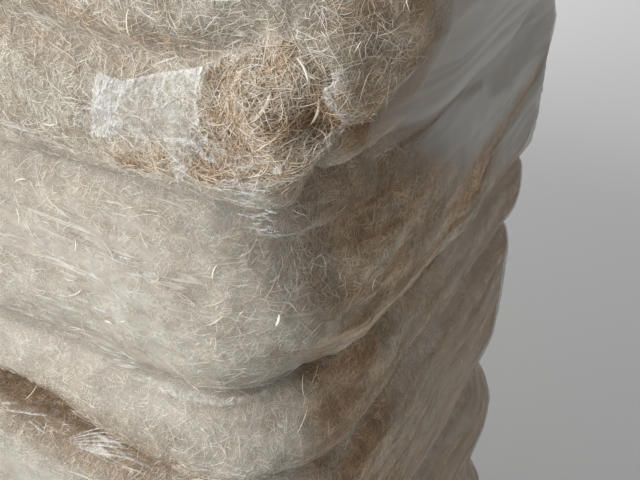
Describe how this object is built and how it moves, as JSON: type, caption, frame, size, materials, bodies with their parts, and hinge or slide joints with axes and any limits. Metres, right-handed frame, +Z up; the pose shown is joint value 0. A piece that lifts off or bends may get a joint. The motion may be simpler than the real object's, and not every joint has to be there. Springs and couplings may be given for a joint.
{
  "type": "wrapped stack of insulation batts",
  "caption": "Long stack of soft plant-fibre insulation batts lying flat on each other, held together by a sleeve of clear stretch film that is torn open at an upper corner.",
  "frame": {"origin": "centre of the underside of the lowest batt", "axes": "+X along the length, +Y across the stack from front to back, +Z up"},
  "size_m": [0.9832, 0.3852, 0.6471],
  "materials": {
    "fibre": "matte, coarse plant fibre",
    "film": "clear, glossy, creased"
  },
  "bodies": {
    "root": {"batt_1": "fibre", "batt_2": "fibre", "batt_3": "fibre", "batt_4": "fibre", "batt_5": "fibre", "batt_6": "fibre", "stretch_film": "film"}
  },
  "joints": []
}
